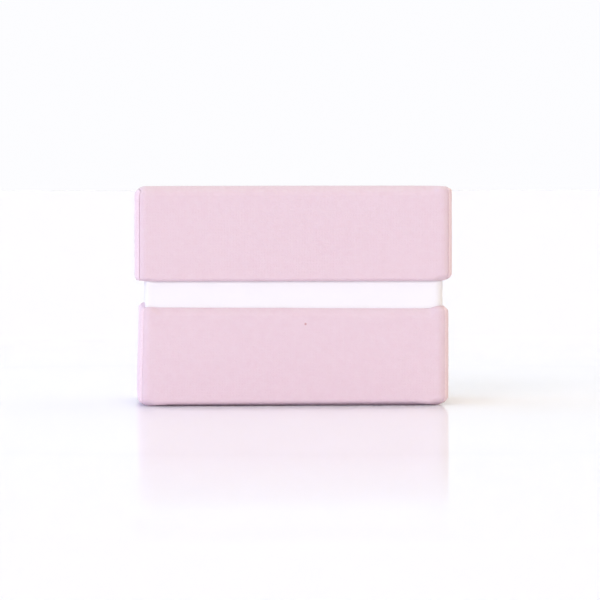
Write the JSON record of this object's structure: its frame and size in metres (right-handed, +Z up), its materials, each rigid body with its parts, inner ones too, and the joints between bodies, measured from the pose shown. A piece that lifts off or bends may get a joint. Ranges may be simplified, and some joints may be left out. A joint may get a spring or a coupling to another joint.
{
  "type": "nail buffer block",
  "caption": "Small hand-held nail buffer block: foam pads banded with pink abrasive cloth above and below a recessed white centre core that the fingers hold.",
  "frame": {"origin": "centre of the bounding box's bottom face, on the surface that the lower pad rests on", "axes": "+X along the block's length, +Y from the front face to the back, +Z up through the lower pad, the core and the upper pad"},
  "size_m": [0.04, 0.025, 0.0276],
  "materials": {
    "abrasive_cloth": "matt, fine abrasive grain",
    "pink_foam": "matt closed-cell foam",
    "white_core": "smooth, semi-gloss white",
    "adhesive_film": "pale translucent film, hidden",
    "bond_tape": "off-white foam tape, hidden"
  },
  "bodies": {
    "root": {"upper_abrasive_wrap": "abrasive_cloth", "lower_abrasive_wrap": "abrasive_cloth", "upper_foam_block": "pink_foam", "lower_foam_block": "pink_foam", "upper_wrap_adhesive": "adhesive_film", "lower_wrap_adhesive": "adhesive_film", "centre_core": "white_core", "upper_bond_tape": "bond_tape", "lower_bond_tape": "bond_tape"}
  },
  "joints": []
}
